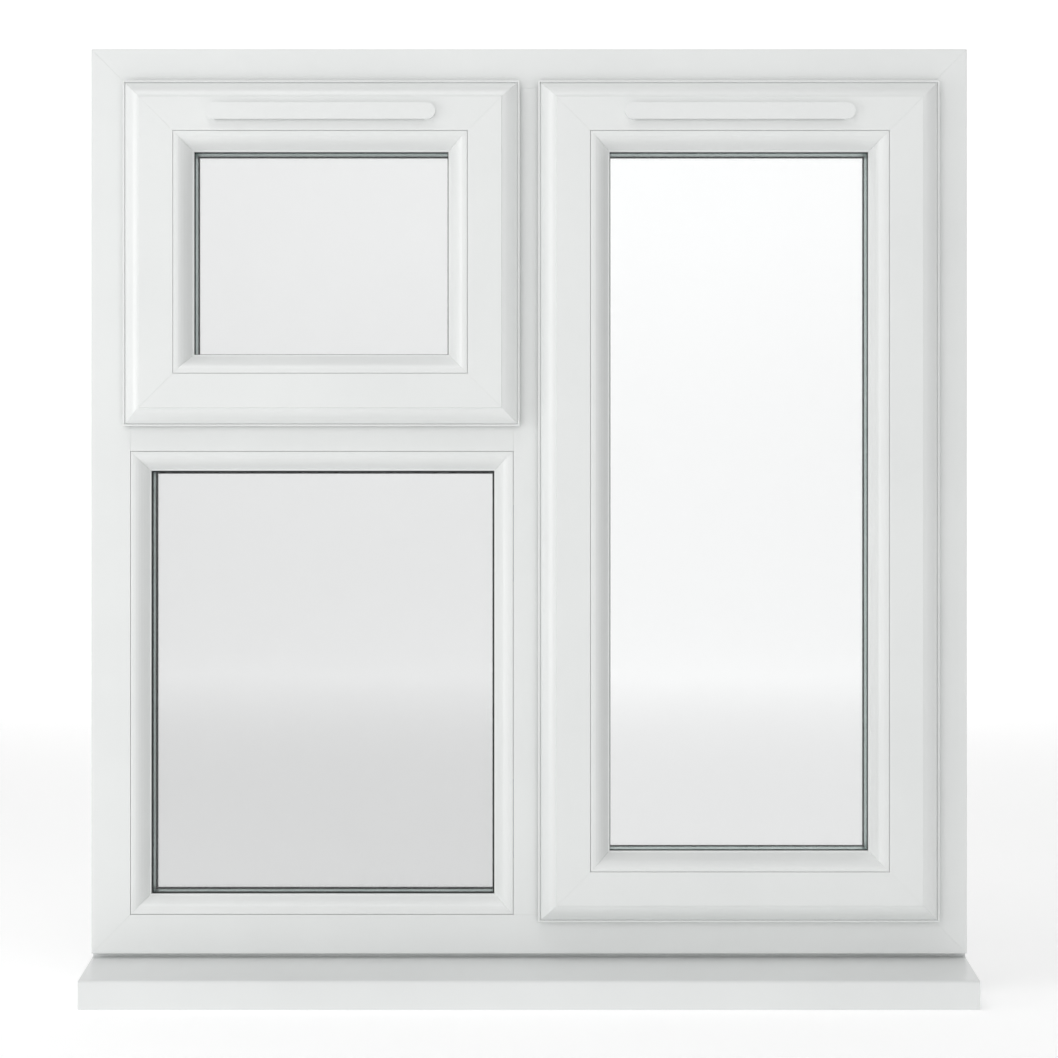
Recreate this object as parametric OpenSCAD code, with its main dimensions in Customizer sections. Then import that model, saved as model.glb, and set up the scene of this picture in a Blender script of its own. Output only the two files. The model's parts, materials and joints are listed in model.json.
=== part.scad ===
// White PVC casement window: a side-hung casement on the right, a top-hung fanlight at the top left and a
// fixed light below it, in a mitred outer frame on a projecting sill.
// +X is to the right seen from outside, the outside faces -Y, and +Z is up.
// The origin is the middle of the sill's bed, under the exterior face of the outer frame.

/* [Outer frame] */
// Width over the outer frame and the sill
frame_w = 905; // [880:5:1200]
// Height of the outer frame, without the sill
frame_h = 935; // [900:5:1300]
// Depth of the outer frame
frame_d = 70; // [70:1:75]
// Face width of the outer frame up to its rebate
frame_web = 40.5; // [38:0.5:46]
// Face width of the mullion and the transom between their rebates
tee_web = 32; // [30:1:40]
// Width of the interior legs that the sashes and the glass close against
leg_w = 20; // [18:1:21]
// Height of the transom's centre line above the bottom of the outer frame
transom_h = 535.5; // [500:0.5:580]

/* [Sashes] */
// How far a sash flange laps over the face of the frame
overlap = 6.5; // [5:0.5:8]
// The same on the hinge side of the casement, where the flange reaches further
hinge_overlap = 11; // [5:0.5:12]
// How far the face of a sash stands out from the face of the frame
sash_proud = 23; // [20:1:26]
// Face width of a sash, from the edge of its flange to its glazing bead
sash_web = 53.5; // [52:0.5:56]

/* [Glass] */
// Thickness of one pane
pane_t = 4; // [4:1:6]
// Thickness of the sealed unit
unit_t = 28; // [24:1:28]
// Thickness of the rubber gaskets on each side of the unit
gasket_t = 3; // [2:0.5:3]
// Free space round the edge of the unit, filled by packers
edge_gap = 5; // [4:0.5:6]

/* [Sill] */
// Height of the sill under the frame
sill_h = 30; // [28:1:35]
// Projection of the sill in front of the frame
sill_proj = 80; // [60:5:110]
// Fall of the sill's top from the frame to the nose
sill_fall = 14; // [8:1:15]
// How far the nose hangs below the bed of the sill
nose_drop = 13; // [8:1:16]

/* [Friction stays] */
// Arm between the frame pivot and the hinge-side pivot of the casement
casement_short = 60; // [56:1:64]
// Pivot distance on the long side of the casement's stays
casement_long = 105; // [100:1:120]
// The same two lengths on the fanlight's stays
fanlight_short = 45; // [42:1:48]
// Pivot distance on the long side of the fanlight's stays
fanlight_long = 70; // [66:1:76]
// Distance from the corner of the rebate to the nearest pivot
stay_start = 20; // [18:1:22]

/* [Lock and vents] */
// Travel of the locking cams for a quarter turn of the handle
cam_travel = 18; // [14:1:18]
// Length of a handle from its pivot to its tip
handle_len = 112; // [95:1:125]
// Length of the canopy of a trickle vent
canopy_len = 236; // [200:2:250]
// Height of the canopy of a trickle vent
canopy_h = 17; // [14:1:19]
// How far the canopy stands out from the sash
canopy_out = 5; // [4:1:12]

/* [Hidden] */
$fn = 48;

pvc = [0.93, 0.94, 0.93];
rubber = [0.08, 0.08, 0.08];
steel = [0.72, 0.73, 0.74];
glass = [0.78, 0.85, 0.86, 0.45];
spacer_grey = [0.55, 0.6, 0.57];

wall = 3;
// Hairlines left at the mitres and where the mullion and transom butt against other bars.
mitre_gap = 0.03;
butt_gap = 0.05;
// Free space between the rebate and the body of a sash, where the hardware lies.
hardware_gap = 13;
leg_y = 50;
sash_back = 47;
flange_y = -3;
edge_bevel = 3;
groove_w = 16;
groove_depth = 4;
bead_joint = 0.3;
fixed_bead_y = 16;
sash_bead_y = -4;
spacer_h = 12;
pin_y = 24;

// Rectangles are [left, bottom, right, top].
top_z = sill_h + frame_h;
transom_z = sill_h + transom_h;
frame_rect = [-frame_w / 2, sill_h, frame_w / 2, top_z];
casement_hole = [tee_web / 2, sill_h + frame_web, frame_w / 2 - frame_web, top_z - frame_web];
fanlight_hole = [frame_web - frame_w / 2, transom_z + tee_web / 2, -tee_web / 2, top_z - frame_web];
fixed_hole = [frame_web - frame_w / 2, sill_h + frame_web, -tee_web / 2, transom_z - tee_web / 2];
casement_sash = grown(casement_hole, [overlap, overlap, hinge_overlap, overlap]);
fanlight_sash = grown(fanlight_hole, [overlap, overlap, overlap, overlap]);
body_u = overlap + hardware_gap;

function grown(r, by) = [r[0] - by[0], r[1] - by[1], r[2] + by[2], r[3] + by[3]];
function shrunk(r, by) = grown(r, [-by, -by, -by, -by]);
function wide(r) = r[2] - r[0];
function high(r) = r[3] - r[1];

// A bar is drawn along +X, with its section given as [distance inward (+Z), depth (+Y)].
module extruded_bar(len) {
    translate([len, 0, 0]) rotate([0, -90, 0]) linear_extrude(len) children();
}

module mitred_bar(len, inward) {
    y0 = -40;
    y1 = 80;
    intersection() {
        extruded_bar(len) children();
        translate([0, y1, 0]) rotate([90, 0, 0]) linear_extrude(y1 - y0)
            polygon([[mitre_gap, 0], [len - mitre_gap, 0],
                [len - mitre_gap - inward, inward], [mitre_gap + inward, inward]]);
    }
}

// The four sides of a rectangle: what is drawn for the bottom side is moved to each of the others.
module on_bottom(r) translate([r[0], 0, r[1]]) children();
module on_top(r) translate([r[0], 0, r[3]]) mirror([0, 0, 1]) children();
module on_left(r) translate([r[0], 0, r[1]]) mirror([1, 0, -1]) children();
module on_right(r) translate([r[2], 0, r[1]]) mirror([1, 0, 0]) mirror([1, 0, -1]) children();

module two_rails(r, inward) {
    on_bottom(r) mitred_bar(wide(r), inward) children();
    on_top(r) mitred_bar(wide(r), inward) children();
}

module two_stiles(r, inward) {
    on_left(r) mitred_bar(high(r), inward) children();
    on_right(r) mitred_bar(high(r), inward) children();
}

module ring(r, inward) {
    two_rails(r, inward) children();
    two_stiles(r, inward) children();
}

// Slab with round ends along +X, centred on the origin, from y0 to y1.
module stadium(len, high, y0, y1) {
    span = len - high;
    for (side = [-1, 1])
        translate([side * span / 2, y1, 0]) rotate([90, 0, 0]) cylinder(h = y1 - y0, d = high);
    translate([-span / 2, y0, -high / 2]) cube([span, y1 - y0, high]);
}

// ---- Outer frame, mullion and transom ----

module frame_section() {
    inner = frame_web + leg_w;
    difference() {
        polygon([[0, 1], [1, 0], [frame_web, 0], [frame_web, leg_y], [inner, leg_y],
            [inner, frame_d - edge_bevel], [inner - edge_bevel, frame_d], [1, frame_d], [0, frame_d - 1]]);
        translate([wall, wall]) square([frame_web - 2 * wall, 9]);
        translate([wall, 15]) square([frame_web - 2 * wall, 32]);
        translate([wall, leg_y]) square([inner - 2 * wall - 2, frame_d - leg_y - wall]);
    }
}

fixing_r = 4;
fixing_y = 40;
fixing_z = [180, 780];

module fixing_holes(x0) {
    for (z = fixing_z)
        translate([x0, fixing_y, z]) rotate([0, 90, 0]) cylinder(h = frame_web + 2, r = fixing_r);
}

module frame_head() {
    color(pvc) on_top(frame_rect) mitred_bar(frame_w, frame_web + leg_w) frame_section();
}

module frame_bottom_rail() {
    color(pvc) on_bottom(frame_rect) mitred_bar(frame_w, frame_web + leg_w) frame_section();
}

module frame_jamb_left() {
    color(pvc) difference() {
        on_left(frame_rect) mitred_bar(frame_h, frame_web + leg_w) frame_section();
        fixing_holes(frame_rect[0] - 1);
    }
}

module frame_jamb_right() {
    color(pvc) difference() {
        on_right(frame_rect) mitred_bar(frame_h, frame_web + leg_w) frame_section();
        fixing_holes(frame_rect[2] - frame_web - 1);
    }
}

// The web of a T bar runs between rebates; its legs stop at the legs of the bars that it meets.
module tee_bar(len) {
    extruded_bar(len) difference() {
        translate([-tee_web / 2, 0]) square([tee_web, leg_y]);
        translate([wall - tee_web / 2, wall]) square([tee_web - 2 * wall, 9]);
        translate([wall - tee_web / 2, 15]) square([tee_web - 2 * wall, 32]);
    }
    edge = tee_web / 2 + leg_w;
    translate([leg_w, 0, 0]) extruded_bar(len - 2 * leg_w) difference() {
        polygon([[-edge, leg_y], [edge, leg_y], [edge, frame_d - edge_bevel],
            [edge - edge_bevel, frame_d], [edge_bevel - edge, frame_d], [-edge, frame_d - edge_bevel]]);
        translate([2 * wall - edge, leg_y + wall]) square([2 * edge - 4 * wall, frame_d - leg_y - 2 * wall]);
    }
}

module mullion() {
    color(pvc) translate([0, 0, casement_hole[1] + butt_gap]) rotate([0, -90, 0])
        tee_bar(high(casement_hole) - 2 * butt_gap);
}

module transom() {
    color(pvc) translate([fixed_hole[0] + butt_gap, 0, transom_z]) tee_bar(wide(fixed_hole) - 2 * butt_gap);
}

// Galvanised box sections inside the main chambers.
steel_d = 31;
steel_t = 2;

module steel_tube(len, width) {
    extruded_bar(len) difference() {
        square([width, steel_d], center = true);
        square([width - 2 * steel_t, steel_d - 2 * steel_t], center = true);
    }
}

module frame_steels() {
    tube = frame_web - 2 * wall - 1;
    cut_back = frame_web + 8;
    tee_cut = 5;
    mid = [0, steel_d, frame_web / 2];
    color(steel) {
        for (across = [0, 1]) {
            len = (across == 0 ? frame_w : frame_h) - 2 * cut_back;
            difference() {
                union() {
                    if (across == 0) {
                        on_bottom(frame_rect) translate(mid + [cut_back, 0, 0]) steel_tube(len, tube);
                        on_top(frame_rect) translate(mid + [cut_back, 0, 0]) steel_tube(len, tube);
                    } else {
                        on_left(frame_rect) translate(mid + [cut_back, 0, 0]) steel_tube(len, tube);
                        on_right(frame_rect) translate(mid + [cut_back, 0, 0]) steel_tube(len, tube);
                    }
                }
                fixing_holes(frame_rect[0] - 1);
                fixing_holes(frame_rect[2] - frame_web - 1);
            }
        }
        translate([0, steel_d, casement_hole[1] + tee_cut]) rotate([0, -90, 0])
            steel_tube(high(casement_hole) - 2 * tee_cut, tee_web - 2 * wall - 1);
        translate([fixed_hole[0] + tee_cut, steel_d, transom_z])
            steel_tube(wide(fixed_hole) - 2 * tee_cut, tee_web - 2 * wall - 1);
    }
}

// ---- Sill ----

sill_lip = 8;
cap_t = 3;
nose_r = 3;
// The frame overhangs a step in the sill, which leaves a shadow gap below the frame.
step_y = 12;
step_h = 4;
sill_web_y = 20;

function sill_top(y) =
    sill_h - step_h - (sill_fall - step_h) * (step_y - y) / (step_y + sill_proj);

// The top falls from the step to a rounded nose.
module sill_outline() {
    nose_top = sill_h - sill_fall;
    polygon(concat([[0, 0], [frame_d, 0], [frame_d, sill_h], [step_y, sill_h], [step_y, sill_top(step_y)]],
        [for (a = [90 : -18 : 0]) [-sill_proj + nose_r * (1 - cos(a)), nose_top - nose_r * (1 - sin(a))]],
        [[-sill_proj, -nose_drop], [-sill_proj + sill_lip, -nose_drop],
        [-sill_proj + sill_lip, wall], [-12, wall], [-12, 0]]));
}

module sill_chamber(y0, y1, z0) {
    polygon([[y0, z0], [y1, z0], [y1, sill_top(y1) - wall], [y0, sill_top(y0) - wall]]);
}

module along_sill(x0, len) {
    translate([x0, 0, 0]) rotate([90, 0, 90]) linear_extrude(len) children();
}

module sill() {
    color(pvc) along_sill(cap_t - frame_w / 2, frame_w - 2 * cap_t) difference() {
        sill_outline();
        for (y = [22, 46])
            translate([y, wall]) square([sill_web_y, sill_h - 2 * wall]);
        sill_chamber(-8, step_y, wall);
        sill_chamber(sill_lip - sill_proj, -12, 2 * wall);
    }
}

module sill_end_caps() {
    color(pvc) {
        along_sill(-frame_w / 2, cap_t) sill_outline();
        along_sill(frame_w / 2 - cap_t, cap_t) sill_outline();
    }
}

// ---- Glass and glazing parts, the same for every light ----
// hole is the rectangle that the rebate leaves for the glass, y0 the outer face of the unit.

fixed_glass_y = fixed_bead_y + gasket_t;
sash_glass_y = sash_bead_y + gasket_t;
casement_glazing = shrunk(casement_sash, sash_web);
fanlight_glazing = shrunk(fanlight_sash, sash_web);

module one_pane(hole, y0) {
    r = shrunk(hole, edge_gap);
    color(glass) translate([r[0], y0, r[1]]) cube([wide(r), pane_t, high(r)]);
}

module spacer_bars(hole, y0) {
    r = shrunk(hole, leg_w + 0.7 - spacer_h);
    color(spacer_grey) ring(r, spacer_h)
        translate([0, y0 + pane_t]) square([spacer_h, unit_t - 2 * pane_t]);
}

// A glazing bead curves from its joint with the profile down to a narrow flat edge at the glass.
module bead_section(y_face, y_back) {
    steps = 6;
    flat = 3;
    nose_w = 1.4;
    nose_t = 4;
    fall = y_back - y_face - nose_t;
    slope = [for (i = [0 : steps])
        [flat + (leg_w - nose_w - flat) * i / steps, y_face + fall * (1 - cos(90 * i / steps))]];
    polygon(concat([[bead_joint, y_back], [bead_joint, y_face + 0.6], [bead_joint + 0.6, y_face]],
        slope, [[leg_w, y_back - nose_t], [leg_w, y_back]]));
}

module bead_bars(hole, y_face, y_back) {
    color(pvc) ring(hole, leg_w) bead_section(y_face, y_back);
}

// One gasket outside the unit and one inside it, each with a lip that shows at the sight line.
module gasket_bars(hole, y0, outer_lip, inner_lip) {
    w = 7;
    for (g = [[y0 - gasket_t, outer_lip], [y0 + unit_t, inner_lip]])
        ring(hole, leg_w + g[1]) translate([leg_w - w, g[0]]) square([w + g[1], gasket_t]);
}

module packer_blocks(hole, y0) {
    for (side = [0.2, 0.8]) {
        on_bottom(hole) packer(side * wide(hole), y0);
        on_top(hole) packer(side * wide(hole), y0);
        on_left(hole) packer(side * high(hole), y0);
        on_right(hole) packer(side * high(hole), y0);
    }
}

packer_len = 80;

module packer(x, y0) translate([x - packer_len / 2, y0, 0]) cube([packer_len, unit_t, edge_gap]);

module fixed_outer_pane() one_pane(fixed_hole, fixed_glass_y);
module fixed_inner_pane() one_pane(fixed_hole, fixed_glass_y + unit_t - pane_t);
module fixed_spacer() spacer_bars(fixed_hole, fixed_glass_y);
module fixed_beads() bead_bars(fixed_hole, 0, fixed_bead_y);
module fixed_seals() color(rubber) gasket_bars(fixed_hole, fixed_glass_y, 1.5, 2.4);
module fixed_packers() color("royalblue") packer_blocks(fixed_hole, fixed_glass_y);

// ---- Seals of the opening lights ----

module weather_seals() {
    color(rubber) for (hole = [casement_hole, fanlight_hole])
        ring(hole, leg_w) translate([leg_w - 6, sash_back + 0.3]) square([5, leg_y - sash_back - 0.3]);
}

module sash_seals(sash, glazing) {
    color(rubber) {
        gasket_bars(glazing, sash_glass_y, 0.6, 1.8);
        ring(sash, overlap) translate([1.5, flange_y]) square([4, -flange_y - 0.4]);
    }
}

// ---- Sashes ----
// u runs inward from the edge of the flange. The flange's front is a rounded slope between a small
// step at the face and a raised rim at the edge.

lock_t = 59;
pivot_u = 45;

module sash_section() {
    steps = 8;
    face = -sash_proud;
    rim_w = 1.8;
    rim_y = -9.6;
    edge_y = -7.6;
    step = 1.5;
    slope_w = body_u - 1;
    inner = sash_web + leg_w;
    leg_front = sash_glass_y + unit_t + gasket_t;
    slope_u = rim_w + 0.3;
    slope = [for (i = [0 : steps])
        [slope_u + (slope_w - slope_u) * i / steps, edge_y + (face + step - edge_y) * sin(90 * i / steps)]];
    difference() {
        polygon(concat([[body_u, flange_y], [0, flange_y], [0, rim_y + 0.4], [0.4, rim_y],
            [rim_w - 0.4, rim_y], [rim_w, rim_y + 0.4]], slope,
            [[slope_w + 0.3, face], [sash_web - 0.6, face], [sash_web, face + 0.6], [sash_web, leg_front],
            [inner, leg_front], [inner, sash_back - edge_bevel], [inner - edge_bevel, sash_back],
            [body_u, sash_back], [body_u, pin_y + groove_w / 2],
            [body_u + groove_depth, pin_y + groove_w / 2], [body_u + groove_depth, pin_y - groove_w / 2],
            [body_u, pin_y - groove_w / 2]]));
        translate([body_u + wall, face + wall]) square([sash_web - body_u - 2 * wall, 18]);
        translate([body_u + groove_depth + wall, 0])
            square([sash_web - body_u - groove_depth - 2 * wall, 42]);
    }
}

// Lock mortise and spindle hole, in the coordinates of the bar that carries the lock.
module lock_pocket(middle) {
    translate([middle - lock_t - 1, pin_y - 10.5, body_u - 1]) cube([2 * lock_t + 2, 21, 33.5]);
    translate([middle, 0, pivot_u]) rotate([-90, 0, 0]) cylinder(h = 60, r = 6);
}

vent_u = 34;
vent_slot = 100;
vent_pitch = 112;

module vent_slots(sash) {
    on_top(sash) for (side = [-0.5, 0.5])
        translate([wide(sash) / 2 + side * vent_pitch - vent_slot / 2, -sash_proud - 1, vent_u - 3])
            cube([vent_slot, sash_back + sash_proud + 2, 6]);
}

module sash_rails(sash, locked) {
    color(pvc) difference() {
        two_rails(sash, sash_web + leg_w) sash_section();
        vent_slots(sash);
        if (locked) on_bottom(sash) lock_pocket(wide(sash) / 2);
    }
}

module sash_stiles(sash, locked) {
    color(pvc) difference() {
        two_stiles(sash, sash_web + leg_w) sash_section();
        if (locked) on_left(sash) lock_pocket(high(sash) / 2);
    }
}

module casement_rails() sash_rails(casement_sash, false);
module casement_stiles() sash_stiles(casement_sash, true);
module casement_outer_pane() one_pane(casement_glazing, sash_glass_y);
module casement_inner_pane() one_pane(casement_glazing, sash_glass_y + unit_t - pane_t);
module casement_spacer() spacer_bars(casement_glazing, sash_glass_y);
module casement_beads() bead_bars(casement_glazing, -sash_proud, sash_bead_y);
module casement_seals() sash_seals(casement_sash, casement_glazing);
module casement_packers() color("royalblue") packer_blocks(casement_glazing, sash_glass_y);
module fanlight_rails() sash_rails(fanlight_sash, true);
module fanlight_stiles() sash_stiles(fanlight_sash, false);
module fanlight_outer_pane() one_pane(fanlight_glazing, sash_glass_y);
module fanlight_inner_pane() one_pane(fanlight_glazing, sash_glass_y + unit_t - pane_t);
module fanlight_spacer() spacer_bars(fanlight_glazing, sash_glass_y);
module fanlight_beads() bead_bars(fanlight_glazing, -sash_proud, sash_bead_y);
module fanlight_seals() sash_seals(fanlight_sash, fanlight_glazing);
module fanlight_packers() color("royalblue") packer_blocks(fanlight_glazing, sash_glass_y);

// ---- Friction stays ----
// A stay is drawn along +X from the corner of the rebate, with +Z up from the rebate's floor.
// In the closed position all its pivots lie on one line.

arm_w = 14;
stud_r = 3;
// Radial play of a rivet where the arm turns on it, where it is fixed, and at the opened scissor pivot.
fit = 0.06;
fixed_play = 0.02;
open_play = 0.5;
track_z = 4.5;
mid_z = [4.8, 7.2];
arm_z = [7.5, 10];
bar_z = [10.3, hardware_gap];

// Pivot positions from the corner: [hinge side, frame pivot, sash bar end, scissor, shoe].
function stay_points(short, long) = [stay_start, stay_start + short, stay_start + long,
    stay_start + short + long, stay_start + short + 2 * long];
casement_stay = stay_points(casement_short, casement_long);
fanlight_stay = stay_points(fanlight_short, fanlight_long);

module casement_stays() {
    corner = [casement_hole[2], 0, 0];
    translate(corner + [0, 0, casement_hole[1]]) mirror([1, 0, 0]) children();
    translate(corner + [0, 0, casement_hole[3]]) mirror([1, 0, 0]) mirror([0, 0, 1]) children();
}

module fanlight_stays() {
    translate([fanlight_hole[0], 0, fanlight_hole[3]]) rotate([0, 90, 0]) children();
    translate([fanlight_hole[2], 0, fanlight_hole[3]]) mirror([1, 0, 0]) rotate([0, 90, 0]) children();
}

module rivet(x, z) translate([x, pin_y, z[0]]) cylinder(h = z[1] - z[0], r = stud_r);
module rivet_hole(x, z, play) translate([x, pin_y, z[0] - 1])
    cylinder(h = z[1] - z[0] + 2, r = stud_r + play);

// Flat arm with round ends, drilled for the listed [place, play] of each rivet.
module arm(x0, x1, z, holes) {
    difference() {
        union() {
            for (x = [x0, x1])
                translate([x, pin_y, z[0]]) cylinder(h = z[1] - z[0], d = arm_w);
            translate([x0, pin_y - arm_w / 2, z[0]]) cube([x1 - x0, arm_w, z[1] - z[0]]);
        }
        for (h = holes) rivet_hole(h[0], z, h[1]);
    }
}

track_w = 18;
shoe_w = 12;

module stay_track(p) {
    len = p[4] + 30;
    slot_x = p[1] + 8;
    low_end = p[1] - 12;
    difference() {
        translate([4, pin_y - track_w / 2, 0]) cube([len - 4, track_w, track_z]);
        translate([slot_x, pin_y - shoe_w / 2 - 0.5, 1.3]) cube([len - slot_x - 4, shoe_w + 1, track_z]);
        translate([0, pin_y - track_w / 2 - 1, 1.5]) cube([low_end, track_w + 2, track_z]);
        rivet_hole(p[1], [0, track_z], fixed_play);
    }
    rivet(p[1], [0.2, arm_z[1]]);
}

// The shoe slides in the track and carries the pivot of the long arm.
module stay_shoe(p) {
    z = [1.6, track_z - 0.2];
    difference() {
        translate([p[4] - 14, pin_y - shoe_w / 2, z[0]]) cube([28, shoe_w, z[1] - z[0]]);
        rivet_hole(p[4], z, fixed_play);
    }
    rivet(p[4], [z[0] + 0.2, arm_z[1]]);
}

module stay_sash_bar(p) {
    arm(p[0], p[2], bar_z, [[p[0], fixed_play], [p[2], fixed_play]]);
    rivet(p[0], [arm_z[0], hardware_gap - 0.2]);
    rivet(p[2], [arm_z[0], hardware_gap - 0.2]);
}

module stay_long_arm(p) {
    arm(p[2], p[4], arm_z, [[p[2], fit], [p[3], fixed_play], [p[4], fit]]);
    rivet(p[3], [mid_z[0], arm_z[1]]);
}

module stay_tracks() {
    color(steel) {
        casement_stays() stay_track(casement_stay);
        fanlight_stays() stay_track(fanlight_stay);
    }
}

module short_arm(p) arm(p[0], p[1], arm_z, [[p[0], fit], [p[1], fit]]);
module mid_arm(p) arm(p[1], p[3], mid_z, [[p[1], fit], [p[3], open_play]]);

module casement_sash_bars() color(steel) casement_stays() stay_sash_bar(casement_stay);
module casement_short_arms() color(steel) casement_stays() short_arm(casement_stay);
module casement_mid_arms() color(steel) casement_stays() mid_arm(casement_stay);
module casement_long_arms() color(steel) casement_stays() stay_long_arm(casement_stay);
module casement_shoes() color("goldenrod") casement_stays() stay_shoe(casement_stay);
module fanlight_sash_bars() color(steel) fanlight_stays() stay_sash_bar(fanlight_stay);
module fanlight_short_arms() color(steel) fanlight_stays() short_arm(fanlight_stay);
module fanlight_mid_arms() color(steel) fanlight_stays() mid_arm(fanlight_stay);
module fanlight_long_arms() color(steel) fanlight_stays() stay_long_arm(fanlight_stay);
module fanlight_shoes() color("goldenrod") fanlight_stays() stay_shoe(fanlight_stay);

// ---- Locks ----
// A lock is drawn on a bottom bar: x along the bar from the middle of the lock, z inward from the flange.

cam_r = 4;
cam_top = body_u - 10;
rod_w = 12;
rod_t = 2.6;
casement_cams = [-290, 290];
fanlight_cams = [-110, 110];

module at_casement_lock() on_left(casement_sash) translate([high(casement_sash) / 2, 0, 0]) children();
module at_fanlight_lock() on_bottom(fanlight_sash) translate([wide(fanlight_sash) / 2, 0, 0]) children();

// Gearbox in its mortise, with the long face plate that covers the sliding rod.
module lock_case(cams) {
    reach = cams[1] + 36;
    case_w = 19;
    plate_w = 20;
    plate_t = 1.9;
    channel_w = rod_w + 1;
    spindle_bore = 5;
    color(steel) difference() {
        union() {
            translate([-lock_t, pin_y - case_w / 2, body_u - 1.5]) cube([2 * lock_t, case_w, 33]);
            translate([-reach, pin_y - plate_w / 2, body_u - 2]) cube([2 * reach, plate_w, plate_t]);
        }
        translate([-lock_t - 1, pin_y - channel_w / 2, body_u + 0.1])
            cube([2 * lock_t + 2, channel_w, rod_t + 1.2]);
        translate([0, -5, pivot_u]) rotate([-90, 0, 0]) cylinder(h = 60, r = spindle_bore);
        for (x = cams)
            translate([x + cam_travel / 2, pin_y, body_u - 3]) rotate([90, 0, 0])
                stadium(cam_travel + 2 * cam_r + 2, 2 * cam_r + 1, -4, 4);
    }
}

// Flat rod that slides along the groove, with a round cam riveted into it at each keep.
module lock_rod(cams) {
    reach = cams[1] + 8;
    rod_z = body_u + 0.5;
    color(steel) {
        difference() {
            translate([-reach, pin_y - rod_w / 2, rod_z]) cube([2 * reach, rod_w, rod_t]);
            for (x = cams)
                translate([x, pin_y, rod_z - 1]) cylinder(h = rod_t + 2, r = cam_r + fixed_play);
        }
        for (x = cams)
            translate([x, pin_y, cam_top]) cylinder(h = rod_z + rod_t - 0.1 - cam_top, r = cam_r);
    }
}

// A keep has a base on the frame and a hook that the cam slides behind.
module keeps(cams) {
    keep_y = pin_y - 11;
    hook_x = cam_r + 3;
    for (x = cams) {
        translate([x - 14, keep_y, overlap]) cube([60, 24, 1.6]);
        translate([x + hook_x, keep_y, overlap]) cube([26, pin_y - cam_r - 0.4 - keep_y, 8.5]);
    }
}

module lock_keeps() {
    color(steel) {
        at_casement_lock() keeps(casement_cams);
        at_fanlight_lock() keeps(fanlight_cams);
    }
}

// Oval back plate, on the interior face of the sash.
base_y = sash_back + 11;
base_len = 134;
base_w = 27;
spindle_r = 3.7;

module handle_base() {
    color(pvc) difference() {
        translate([0, 0, pivot_u]) stadium(base_len, base_w, sash_back, base_y);
        translate([0, 0, pivot_u]) rotate([-90, 0, 0]) cylinder(h = 80, r = spindle_r + 0.3);
    }
}

// The lever hangs along the bar at rest; its spindle reaches through the back plate into the gearbox.
lever_y = [base_y + 12, base_y + 24];
neck_r = 11;
head_r = 12.5;
tip_r = 9;
button_r = 5.5;
button_play = 0.2;

module handle() {
    color(pvc) difference() {
        translate([0, 0, pivot_u]) {
            rotate([-90, 0, 0]) translate([0, 0, pin_y - 8]) cylinder(h = base_y - pin_y + 9, r = spindle_r);
            rotate([-90, 0, 0]) translate([0, 0, base_y + 0.3]) cylinder(h = 14, r = neck_r);
            translate([0, lever_y[1], 0]) rotate([90, 0, 0]) linear_extrude(lever_y[1] - lever_y[0]) {
                circle(r = head_r);
                polygon([[0, head_r], [tip_r - handle_len, tip_r], [tip_r - handle_len, -tip_r], [0, -head_r]]);
                translate([tip_r - handle_len, 0]) circle(r = tip_r);
            }
        }
        translate([0, lever_y[1] - 7, pivot_u]) rotate([-90, 0, 0])
            cylinder(h = 10, r = button_r + button_play);
    }
}

module lock_button() {
    color(steel) translate([0, lever_y[1] - 3.6, pivot_u]) rotate([-90, 0, 0])
        cylinder(h = 6.6, r = button_r);
}

module casement_lock_case() at_casement_lock() lock_case(casement_cams);
module casement_lock_rod() at_casement_lock() lock_rod(casement_cams);
module casement_handle_base() at_casement_lock() handle_base();
module casement_handle() at_casement_lock() handle();
module casement_lock_button() at_casement_lock() lock_button();
module fanlight_lock_case() at_fanlight_lock() lock_case(fanlight_cams);
module fanlight_lock_rod() at_fanlight_lock() lock_rod(fanlight_cams);
module fanlight_handle_base() at_fanlight_lock() handle_base();
module fanlight_handle() at_fanlight_lock() handle();
module fanlight_lock_button() at_fanlight_lock() lock_button();

// ---- Trickle vents ----
// A vent is drawn from the middle of a sash's top bar, with z downward from the flange.

module at_vent(sash) on_top(sash) translate([wide(sash) / 2, 0, vent_u]) children();

// Rain hood: closed in front and at the top, open underneath.
module vent_canopy(sash) {
    front = -sash_proud - canopy_out;
    hood_t = 2;
    color(pvc) at_vent(sash) difference() {
        stadium(canopy_len, canopy_h, front, -sash_proud);
        translate([canopy_h / 2 - canopy_len / 2 + hood_t, front + hood_t, hood_t - canopy_h / 2])
            cube([canopy_len - canopy_h - 2 * hood_t, canopy_out, canopy_h]);
    }
}

vent_len = 250;
flap_len = 214;

// Interior housing with a long mouth, and a flap that closes it.
module vent_body(sash) {
    color(pvc) at_vent(sash) difference() {
        translate([-vent_len / 2, sash_back, -3.5]) cube([vent_len, 13, 21]);
        translate([-flap_len / 2 - 1, sash_back + 2, -1]) cube([flap_len + 2, 14, 16]);
        for (side = [-0.5, 0.5])
            translate([side * vent_pitch - vent_slot / 2, sash_back - 1, -1]) cube([vent_slot, 4, 4]);
    }
}

// The flap turns about a round rib along its lower edge.
flap_pivot = [sash_back + 10.5, 12.5];

module vent_flap(sash) {
    rib_r = 1.8;
    color(pvc) at_vent(sash) {
        translate([-flap_len / 2, flap_pivot[0], flap_pivot[1]]) rotate([0, 90, 0])
            cylinder(h = flap_len, r = rib_r);
        translate([-flap_len / 2, sash_back + 9.5, -0.5]) cube([flap_len, 2, 13]);
    }
}

module casement_vent_canopy() vent_canopy(casement_sash);
module casement_vent_body() vent_body(casement_sash);
module casement_vent_flap() vent_flap(casement_sash);
module fanlight_vent_canopy() vent_canopy(fanlight_sash);
module fanlight_vent_body() vent_body(fanlight_sash);
module fanlight_vent_flap() vent_flap(fanlight_sash);

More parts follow.
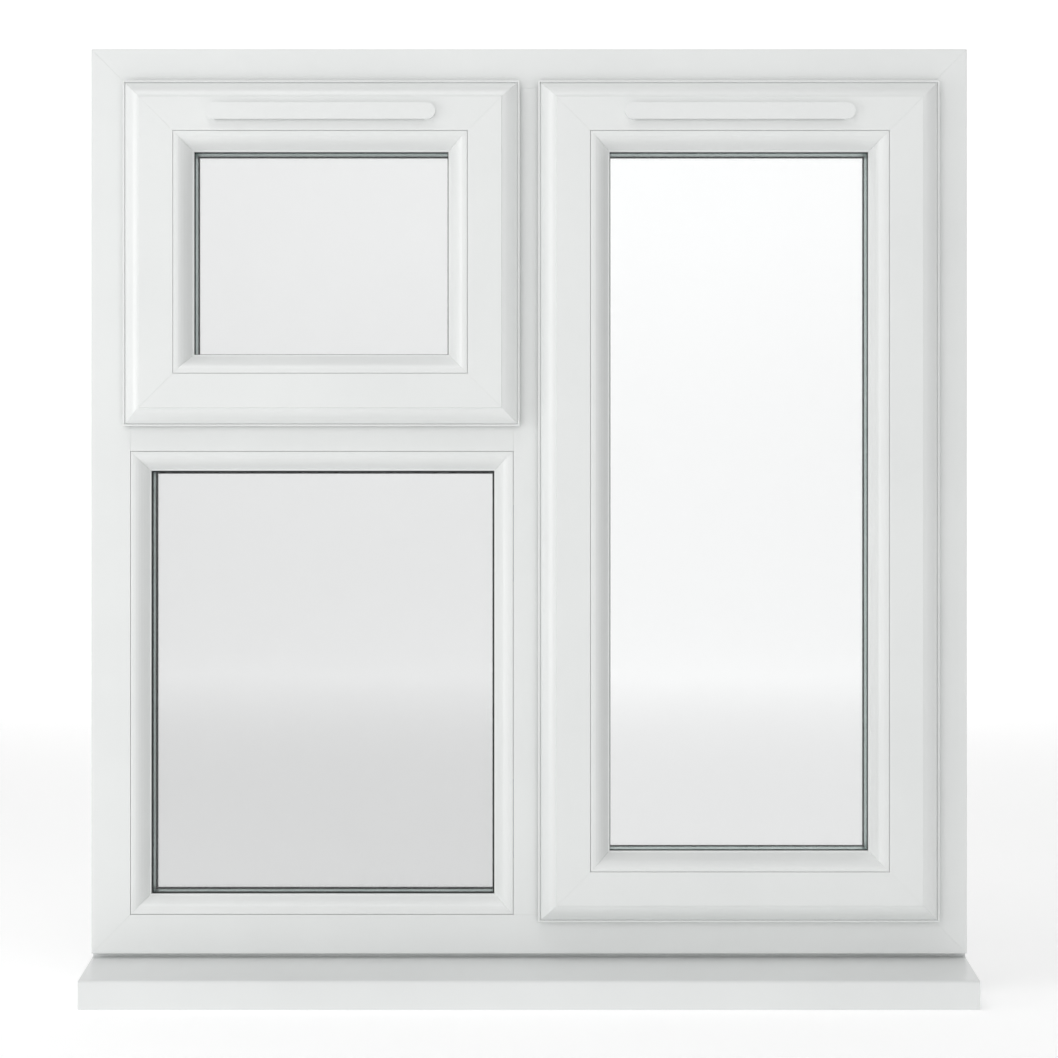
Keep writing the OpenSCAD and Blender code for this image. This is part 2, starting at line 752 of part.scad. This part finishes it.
frame_head();
frame_jamb_left();
frame_jamb_right();
frame_bottom_rail();
mullion();
transom();
frame_steels();
sill();
sill_end_caps();
fixed_outer_pane();
fixed_inner_pane();
fixed_spacer();
fixed_beads();
fixed_seals();
fixed_packers();
weather_seals();
stay_tracks();
lock_keeps();
casement_rails();
casement_stiles();
casement_outer_pane();
casement_inner_pane();
casement_spacer();
casement_beads();
casement_seals();
casement_packers();
casement_sash_bars();
casement_short_arms();
casement_mid_arms();
casement_long_arms();
casement_shoes();
casement_lock_case();
casement_lock_rod();
casement_handle_base();
casement_handle();
casement_lock_button();
casement_vent_canopy();
casement_vent_body();
casement_vent_flap();
fanlight_rails();
fanlight_stiles();
fanlight_outer_pane();
fanlight_inner_pane();
fanlight_spacer();
fanlight_beads();
fanlight_seals();
fanlight_packers();
fanlight_sash_bars();
fanlight_short_arms();
fanlight_mid_arms();
fanlight_long_arms();
fanlight_shoes();
fanlight_lock_case();
fanlight_lock_rod();
fanlight_handle_base();
fanlight_handle();
fanlight_lock_button();
fanlight_vent_canopy();
fanlight_vent_body();
fanlight_vent_flap();
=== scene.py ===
"""White PVC casement window: materials, handles, screws, light and camera round the CAD frame."""
import json
import math

import bpy
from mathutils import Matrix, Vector


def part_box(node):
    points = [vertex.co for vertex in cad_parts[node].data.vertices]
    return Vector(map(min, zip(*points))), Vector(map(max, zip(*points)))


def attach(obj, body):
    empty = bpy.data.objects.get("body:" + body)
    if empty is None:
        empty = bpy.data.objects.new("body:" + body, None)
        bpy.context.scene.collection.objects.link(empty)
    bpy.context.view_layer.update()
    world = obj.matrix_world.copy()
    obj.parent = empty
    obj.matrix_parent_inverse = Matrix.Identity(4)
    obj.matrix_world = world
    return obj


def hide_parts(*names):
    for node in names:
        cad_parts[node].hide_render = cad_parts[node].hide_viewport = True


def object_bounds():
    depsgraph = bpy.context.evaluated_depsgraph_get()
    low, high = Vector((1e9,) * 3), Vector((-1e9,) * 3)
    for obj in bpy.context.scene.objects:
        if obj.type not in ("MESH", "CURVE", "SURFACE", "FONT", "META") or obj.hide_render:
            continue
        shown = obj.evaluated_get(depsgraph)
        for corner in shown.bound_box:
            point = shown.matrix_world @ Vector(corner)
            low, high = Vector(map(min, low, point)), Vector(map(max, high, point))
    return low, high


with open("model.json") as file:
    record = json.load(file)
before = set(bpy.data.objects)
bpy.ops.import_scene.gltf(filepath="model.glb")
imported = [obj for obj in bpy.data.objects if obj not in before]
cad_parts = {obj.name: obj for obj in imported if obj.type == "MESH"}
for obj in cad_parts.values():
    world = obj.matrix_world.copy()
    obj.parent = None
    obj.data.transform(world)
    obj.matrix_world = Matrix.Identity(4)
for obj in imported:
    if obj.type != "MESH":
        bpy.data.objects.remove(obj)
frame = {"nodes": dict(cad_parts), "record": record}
cad_low, cad_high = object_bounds()

MM = 0.001
NODES = frame["nodes"]

# Places in the CAD, repeated here in mm. A hole is the rebate round a light: (left, bottom, right, top).
CASEMENT_HOLE = (16, 70.5, 412, 924.5)
FANLIGHT_HOLE = (-412, 581.5, -16, 924.5)
KEEP_Y = 25
KEEP_T = 1.6
CASEMENT_CAM = 290
FANLIGHT_CAM = 110
TRACK_Y = 24
TRACK_FLOOR = 1.5

# ---- Camera ----

CAMERA_AWAY = 2.677
CAMERA_Z = 0.469
CAMERA_LENS = 88.16
SENSOR = 36.0


def make_camera():
    cam = bpy.data.objects.new("camera", bpy.data.cameras.new("camera"))
    bpy.context.collection.objects.link(cam)
    cam.location = (0, -CAMERA_AWAY, CAMERA_Z)
    cam.rotation_euler = (math.pi / 2, 0, 0)
    cam.data.lens = CAMERA_LENS
    cam.data.sensor_width = SENSOR
    cam.data.clip_start = 0.05
    bpy.context.scene.camera = cam


# ---- Materials ----


def new_material(name):
    mat = bpy.data.materials.new(name)
    mat.use_nodes = True
    mat.node_tree.nodes.clear()
    return mat, mat.node_tree


def add(tree, kind, **values):
    """A new shader node; keyword names are its inputs, or its own properties."""
    node = tree.nodes.new(kind)
    for key, value in values.items():
        name = key.replace("_", " ").title().replace("Ior", "IOR")
        if name in node.inputs:
            node.inputs[name].default_value = value
        else:
            setattr(node, key, value)
    return node


def ramp(tree, source, low, high, start=0.0, end=1.0):
    """Maps a 0-1 value to a blend of two colours."""
    node = tree.nodes.new("ShaderNodeValToRGB")
    node.color_ramp.elements[0].position = start
    node.color_ramp.elements[1].position = end
    node.color_ramp.elements[0].color = (*low, 1)
    node.color_ramp.elements[1].color = (*high, 1)
    tree.links.new(source, node.inputs["Fac"])
    return node.outputs["Color"]


def scaled_noise(tree, scale, stretch=(1, 1, 1), detail=3.0):
    """Noise in object space; stretch below 1 draws it out along that axis."""
    place = add(tree, "ShaderNodeTexCoord").outputs["Object"]
    mapping = add(tree, "ShaderNodeMapping")
    mapping.inputs["Scale"].default_value = stretch
    tree.links.new(place, mapping.inputs["Vector"])
    noise = add(tree, "ShaderNodeTexNoise", scale=scale, detail=detail)
    tree.links.new(mapping.outputs["Vector"], noise.inputs["Vector"])
    return noise.outputs["Fac"]


def finish_material(tree, shader):
    out = tree.nodes.new("ShaderNodeOutputMaterial")
    tree.links.new(shader, out.inputs["Surface"])


def bumped(tree, bsdf, height, distance, strength=1.0):
    bump = add(tree, "ShaderNodeBump", strength=strength, distance=distance)
    tree.links.new(height, bump.inputs["Height"])
    tree.links.new(bump.outputs["Normal"], bsdf.inputs["Normal"])


def plastic(name, low, high, rough, grain_scale, grain_depth, coat=0.0):
    """Moulded or extruded plastic: faint blotches of colour, uneven gloss and a fine grain."""
    mat, tree = new_material(name)
    bsdf = add(tree, "ShaderNodeBsdfPrincipled")
    bsdf.inputs["Coat Weight"].default_value = coat
    bsdf.inputs["Coat Roughness"].default_value = 0.12
    bsdf.inputs["IOR"].default_value = 1.53
    cloud = scaled_noise(tree, 6.0, detail=4.0)
    tree.links.new(ramp(tree, cloud, low, high, 0.35, 0.65), bsdf.inputs["Base Color"])
    gloss = scaled_noise(tree, 30.0)
    spread = 0.06
    tree.links.new(
        ramp(tree, gloss, (rough - spread,) * 3, (rough + spread,) * 3, 0.3, 0.7),
        bsdf.inputs["Roughness"],
    )
    bumped(tree, bsdf, scaled_noise(tree, grain_scale, detail=2.0), grain_depth)
    finish_material(tree, bsdf.outputs["BSDF"])
    return mat


def metal(name, low, high, rough, brush=(1, 1, 1), brush_scale=900.0, depth=0.00002):
    """Plated or brushed metal; brush below 1 draws the scratches out along that axis."""
    mat, tree = new_material(name)
    bsdf = add(tree, "ShaderNodeBsdfPrincipled")
    bsdf.inputs["Metallic"].default_value = 1.0
    cloud = scaled_noise(tree, 45.0, detail=5.0)
    tree.links.new(ramp(tree, cloud, low, high, 0.3, 0.7), bsdf.inputs["Base Color"])
    scratch = scaled_noise(tree, brush_scale, brush, 4.0)
    tree.links.new(
        ramp(tree, scratch, (rough - 0.08,) * 3, (rough + 0.12,) * 3, 0.3, 0.7),
        bsdf.inputs["Roughness"],
    )
    bumped(tree, bsdf, scratch, depth)
    finish_material(tree, bsdf.outputs["BSDF"])
    return mat


def clear_glass(name, tint):
    """Clear float glass, with a very faint clouding of its tint."""
    mat, tree = new_material(name)
    bsdf = add(tree, "ShaderNodeBsdfPrincipled")
    bsdf.inputs["Transmission Weight"].default_value = 1.0
    bsdf.inputs["Roughness"].default_value = 0.0
    bsdf.inputs["IOR"].default_value = 1.5
    haze = scaled_noise(tree, 3.0, detail=2.0)
    tree.links.new(
        ramp(tree, haze, tuple(c * 0.99 for c in tint), tint), bsdf.inputs["Base Color"]
    )
    finish_material(tree, bsdf.outputs["BSDF"])
    return mat


MATERIALS = {
    "pvc_frame": plastic("pvc", (0.80, 0.815, 0.808), (0.825, 0.84, 0.832), 0.34, 900.0, 0.00001, 0.15),
    "pvc_sill": plastic("pvc_sill", (0.79, 0.805, 0.80), (0.815, 0.83, 0.825), 0.34, 900.0, 0.00001, 0.15),
    "vent_white": plastic("vent", (0.80, 0.815, 0.808), (0.82, 0.835, 0.828), 0.4, 1400.0, 0.00003),
    "handle_white": plastic("handle_coat", (0.80, 0.81, 0.81), (0.83, 0.84, 0.84), 0.3, 700.0, 0.00004, 0.4),
    "glass": clear_glass("pane", (0.848, 0.852, 0.852)),
    # painted light: a lighter copy of the pane glass whose higher tint paints in the brighter light seen on
    # the casement pane
    "painted_bright_glass": clear_glass("painted_bright_pane", (0.922, 0.926, 0.926)),
    "spacer": metal("spacer_bar", (0.42, 0.52, 0.50), (0.52, 0.61, 0.59), 0.4, (1, 1, 1), 600.0),
    "gasket": plastic("gasket_rubber", (0.012, 0.016, 0.016), (0.03, 0.034, 0.034), 0.6, 1600.0, 0.00005),
    "packer": plastic("packer_plastic", (0.03, 0.10, 0.42), (0.05, 0.14, 0.5), 0.45, 800.0, 0.00004),
    "galvanised_steel": metal("galvanised", (0.42, 0.44, 0.46), (0.62, 0.64, 0.66), 0.45, (1, 1, 1), 120.0),
    "stay_steel": metal("stay_steel", (0.50, 0.50, 0.49), (0.60, 0.60, 0.59), 0.32, (0.06, 1, 1), 1500.0),
    "stay_shoe": metal("shoe_brass", (0.55, 0.40, 0.16), (0.68, 0.52, 0.24), 0.35, (1, 1, 1), 700.0),
    "lock_steel": metal("zinc_plate", (0.48, 0.50, 0.52), (0.60, 0.62, 0.63), 0.3, (1, 1, 0.06), 1400.0),
    "button_metal": metal("button", (0.60, 0.60, 0.60), (0.72, 0.72, 0.72), 0.2, (1, 1, 1), 1200.0),
}


# ---- CAD nodes: materials and softened edges ----

EDGE = {
    "pvc_frame": 0.12,
    "pvc_sill": 0.25,
    "vent_white": 1.2,
    "handle_white": 2.5,
    "spacer": 0.3,
    "stay_steel": 0.25,
    "lock_steel": 0.3,
    "button_metal": 0.5,
    "stay_shoe": 0.4,
    "packer": 0.5,
}


def soften(piece, width_mm):
    """Joins the facets of an imported mesh and rounds its sharp edges."""
    weld = piece.modifiers.new("weld", "WELD")
    weld.merge_threshold = 0.00001
    bevel = piece.modifiers.new("round_edges", "BEVEL")
    bevel.width = width_mm * MM
    bevel.segments = 3
    bevel.limit_method = "ANGLE"
    bevel.angle_limit = math.radians(35)
    bevel.harden_normals = False


def dress_cad():
    slots = {s["node"]: s["material_slot"] for s in frame["record"]["subparts"]}
    for name, piece in NODES.items():
        slot = slots[name]
        piece.data.materials.clear()
        # the casement panes get the lighter glass copy, a painted brightening that stands in for the light
        # on that pane
        painted_bright = name.startswith("casement") and slot == "glass"
        piece.data.materials.append(MATERIALS["painted_bright_glass" if painted_bright else slot])
        if slot in EDGE:
            soften(piece, EDGE[slot])
        if slot == "glass":
            piece.visible_shadow = False


# ---- Extra pieces: shaped handles and screw heads ----


def add_piece(name, verts, faces, slot, body):
    mesh = bpy.data.meshes.new(name)
    mesh.from_pydata([tuple(v) for v in verts], [], faces)
    mesh.validate()
    mesh.shade_smooth()
    mesh.materials.append(MATERIALS[slot])
    piece = bpy.data.objects.new(name, mesh)
    bpy.context.collection.objects.link(piece)
    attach(piece, body)
    return piece


def lofted(rings):
    """Closed skin through rings of equal point count, with a flat cap at each end."""
    n = len(rings[0])
    verts = [v for ring in rings for v in ring]
    faces = []
    for k in range(len(rings) - 1):
        for i in range(n):
            j = (i + 1) % n
            faces.append((k * n + i, k * n + j, (k + 1) * n + j, (k + 1) * n + i))
    faces.append(tuple(range(n))[::-1])
    faces.append(tuple((len(rings) - 1) * n + i for i in range(n)))
    return verts, faces


def circle_of(n, radius, height):
    turn = [2 * math.pi * i / n for i in range(n)]
    return [(radius * math.cos(t), radius * math.sin(t), height) for t in turn]


def turned(centre, profile):
    """Solid of revolution about the Y axis through centre, from (radius, y) pairs in mm."""
    rings = []
    for radius, y in profile:
        rings.append([centre + Vector((u, y, v)) * MM for u, v, _ in circle_of(48, radius, 0)])
    return lofted(rings)


def joined(*parts):
    verts, faces = [], []
    for part_verts, part_faces in parts:
        base = len(verts)
        verts += part_verts
        faces += [tuple(i + base for i in face) for face in part_faces]
    return verts, faces


def eased(share):
    """Runs from 0 to 1 with level ends."""
    return 0.5 - 0.5 * math.cos(math.pi * share)


LEVER_HEAD = 12.4
LEVER_WAIST = 7.6
LEVER_TIP = 9.2
WAIST_AT = 34


def lever_width(s, length):
    """Half width of a lever at a distance s from its pivot: a round head, a waist and a round tip."""
    tip_at = length - LEVER_TIP
    if s < 0:
        return math.sqrt(max(LEVER_HEAD**2 - s**2, 0))
    if s > tip_at:
        return math.sqrt(max(LEVER_TIP**2 - (s - tip_at) ** 2, 0))
    if s < WAIST_AT:
        return LEVER_HEAD + (LEVER_WAIST - LEVER_HEAD) * eased(s / WAIST_AT)
    return LEVER_WAIST + (LEVER_TIP - LEVER_WAIST) * eased((s - WAIST_AT) / (tip_at - WAIST_AT))


def lever_rings(pivot, along, across, y_low, y_high, length):
    """Rings of a lever with a crowned face, from behind its head to its tip."""
    end_rounding, thinning, least = 6, 0.16, 0.25
    places = [-12.38, -12.2, -11.5, -10, -7.5, -4, 0]
    places += [length * k / 26 for k in range(1, 24)]
    places += [length - d for d in (7.5, 5, 3, 1.5, 0.6, 0.1)]
    middle = (y_high + y_low) / 2
    rings = []
    for s in places:
        half = max(lever_width(s, length), least)
        from_end = min(s + LEVER_HEAD, length - s)
        swell = math.sqrt(min(1.0, from_end / end_rounding))
        thick = (y_high - y_low) / 2 * (1 - thinning * max(s, 0) / length) * (0.45 + 0.55 * swell)
        ring = []
        for u, v, _ in circle_of(40, 1, 0):
            u = math.copysign(abs(u) ** 0.62, u) * half
            v = math.copysign(abs(v) ** 0.8, v) * thick
            ring.append(pivot + (along * s + across * u + Vector((0, middle + v, 0))) * MM)
        rings.append(ring)
    return rings


def make_handle(sash, along, across):
    low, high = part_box(f"{sash}_handle")
    button_low, button_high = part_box(f"{sash}_lock_button")
    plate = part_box(f"{sash}_handle_base")[1].y / MM
    pivot = (button_low + button_high) / 2
    pivot.y = 0
    top = high.y / MM
    # the lever reaches from the pivot to the far end of the CAD handle
    length = max((low - pivot).dot(along), (high - pivot).dot(along)) / MM
    lever_t, spindle_r = 12, 3.7
    screw_place, screw_r = 52, 3.6
    # (radius, height) above the back plate, and above the lever's face
    neck = [(12.4, 0.3), (12.4, 1.6), (11.4, 2.6), (10.3, 4.5), (10.0, 7.5), (10.6, 11), (10.9, 15)]
    collar = [(7.4, -1.5), (7.4, 0.5), (6.9, 0.9), (6.2, 0.9), (6.0, 0)]
    parts = [
        lofted(lever_rings(pivot, along, across, top - lever_t, top, length)),
        turned(pivot, [(r, plate + h) for r, h in neck]),
        turned(pivot, [(spindle_r, low.y / MM), (spindle_r, plate + 1)]),
        turned(pivot, [(r, top + h) for r, h in collar]),
    ]
    handle = add_piece(f"{sash}_lever", *joined(*parts), "handle_white", f"{sash}_handle_lever")
    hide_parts(f"{sash}_handle")
    outward = Vector((0, 1, 0))
    for side in (-1, 1):
        place = pivot + along * (side * screw_place * MM)
        place.y = plate * MM
        screw(f"{sash}_plate_screw_{side}", place, outward, screw_r, "lock_steel", f"{sash}_sash")


def screw(name, place, normal, radius, slot, body):
    """Domed screw head with a cross recess. Its shape is in units of its radius."""
    turns, rows = 32, 9
    arm, reach, depth = 0.17, 0.62, 0.32
    crown, edge, sunk = 0.34, 0.12, 0.15
    verts, faces = [], []
    for k in range(rows):
        share = 1 - k / rows
        for x, y, h in circle_of(turns, share, crown * (1 - share**2) + edge):
            in_cross = share < reach and min(abs(x), abs(y)) < arm
            verts.append((x, y, h - depth if in_cross else h))
    rim = len(verts)
    verts += circle_of(turns, 1, -sunk)
    verts.append((0, 0, crown + edge - depth))
    middle = rim + turns
    inner = rim - turns
    for i in range(turns):
        j = (i + 1) % turns
        for start in range(0, inner, turns):
            faces.append((start + i, start + j, start + turns + j, start + turns + i))
        faces.append((inner + i, inner + j, middle))
        faces.append((rim + i, rim + j, j, i))
    faces.append(tuple(rim + i for i in range(turns))[::-1])
    turn = normal.to_track_quat("Z", "Y")
    verts = [place + turn @ (Vector(v) * radius * MM) for v in verts]
    add_piece(name, verts, faces, slot, body)


def keep_screws():
    """Two screws in each lock keep: beside the mullion for the casement, on the transom for the fanlight."""
    radius = 2.6
    casement_middle = (CASEMENT_HOLE[1] + CASEMENT_HOLE[3]) / 2
    fanlight_middle = (FANLIGHT_HOLE[0] + FANLIGHT_HOLE[2]) / 2
    for sign in (-1, 1):
        for step in (-8, 40):
            z = casement_middle + sign * CASEMENT_CAM + step
            place = Vector((CASEMENT_HOLE[0] + KEEP_T, KEEP_Y, z)) * MM
            name = f"casement_keep_screw_{sign}_{step}"
            screw(name, place, Vector((1, 0, 0)), radius, "lock_steel", "frame")
            x = fanlight_middle + sign * FANLIGHT_CAM + step
            place = Vector((x, KEEP_Y, FANLIGHT_HOLE[1] + KEEP_T)) * MM
            name = f"fanlight_keep_screw_{sign}_{step}"
            screw(name, place, Vector((0, 0, 1)), radius, "lock_steel", "frame")


def track_screws():
    """Two screws near the start of each stay track, which lies in a corner of the rebate."""
    radius = 3.0
    left, right, up, down = (Vector(v) for v in ((-1, 0, 0), (1, 0, 0), (0, 0, 1), (0, 0, -1)))
    tracks = {
        # name: (corner x, corner z, direction of the track, direction out of its floor)
        "casement_low": (CASEMENT_HOLE[2], CASEMENT_HOLE[1], left, up),
        "casement_high": (CASEMENT_HOLE[2], CASEMENT_HOLE[3], left, down),
        "fanlight_left": (FANLIGHT_HOLE[0], FANLIGHT_HOLE[3], down, right),
        "fanlight_right": (FANLIGHT_HOLE[2], FANLIGHT_HOLE[3], down, left),
    }
    for name, (x, z, along, out) in tracks.items():
        for step in (11, 36):
            place = (Vector((x, TRACK_Y, z)) + along * step + out * TRACK_FLOOR) * MM
            screw(f"{name}_track_screw_{step}", place, out, radius, "stay_steel", "frame")


# ---- Floor, backdrop and light ----


def plain(name, colour, glow):
    """Matt paint that is lit a little from behind, as a light table is."""
    mat, tree = new_material(name)
    bsdf = add(tree, "ShaderNodeBsdfPrincipled", roughness=0.9)
    bsdf.inputs["Emission Color"].default_value = (1, 1, 1, 1)
    bsdf.inputs["Emission Strength"].default_value = glow
    grain = scaled_noise(tree, 2.0)
    tree.links.new(
        ramp(tree, grain, tuple(c * 0.995 for c in colour), colour), bsdf.inputs["Base Color"]
    )
    finish_material(tree, bsdf.outputs["BSDF"])
    return mat


def make_stage():
    """A pale floor that curves up into a backdrop behind and into a bounce wall in front."""
    floor_z = cad_low.z - 0.0005
    reach, front, back, radius, height = 8.0, -7.0, 7.5, 1.6, 6.0
    steps = 12
    turns = [math.pi / 2 * i / steps for i in range(steps + 1)]
    line = [(front, floor_z + height)]
    line += [(front + radius * (1 - math.cos(a)), floor_z + radius * (1 - math.sin(a))) for a in turns]
    line += [(back - radius * (1 - math.sin(a)), floor_z + radius * (1 - math.cos(a))) for a in turns]
    line.append((back, floor_z + height))
    verts = [(x, y, z) for x in (-reach, reach) for y, z in line]
    n = len(line)
    faces = [(i, i + 1, n + i + 1, n + i) for i in range(n - 1)]
    mesh = bpy.data.meshes.new("studio")
    mesh.from_pydata(verts, [], faces)
    mesh.shade_smooth()
    studio = bpy.data.objects.new("studio", mesh)
    bpy.context.collection.objects.link(studio)
    mesh.materials.append(plain("studio_paint", (0.93, 0.93, 0.93), GLOW))


def area_light(name, place, target, size, power):
    light = bpy.data.lights.new(name, "AREA")
    light.shape = "RECTANGLE"
    light.size, light.size_y = size
    light.energy = power
    lamp = bpy.data.objects.new(name, light)
    lamp.location = place
    lamp.rotation_mode = "QUATERNION"
    lamp.rotation_quaternion = (Vector(target) - Vector(place)).to_track_quat("-Z", "Y")
    bpy.context.collection.objects.link(lamp)


LIGHTS = {
    # name: (place, target, size, power)
    "left_near": ((-2.2, -0.9, 0.6), (0, 0, 0.5), (1.2, 1.6), 13),
    "top_box": ((-0.6, -1.2, 3.2), (0, 0, 0.4), (2.0, 1.4), 19),
    "backdrop_wash": ((0, 5.0, 4.2), (0, 7.5, 1.2), (5.0, 1.0), 50),
}
AIR = 0.44
GLOW = 0.31


def make_lights():
    for name, (place, target, size, power) in LIGHTS.items():
        area_light(name, place, target, size, power)
    world = bpy.data.worlds.new("studio_air")
    world.use_nodes = True
    world.node_tree.nodes["Background"].inputs["Color"].default_value = (1, 1, 1, 1)
    world.node_tree.nodes["Background"].inputs["Strength"].default_value = AIR
    bpy.context.scene.world = world
    bpy.context.scene.view_settings.view_transform = "Standard"


make_camera()
dress_cad()
make_handle("casement", Vector((0, 0, -1)), Vector((1, 0, 0)))
make_handle("fanlight", Vector((-1, 0, 0)), Vector((0, 0, 1)))
keep_screws()
track_screws()
make_stage()
make_lights()
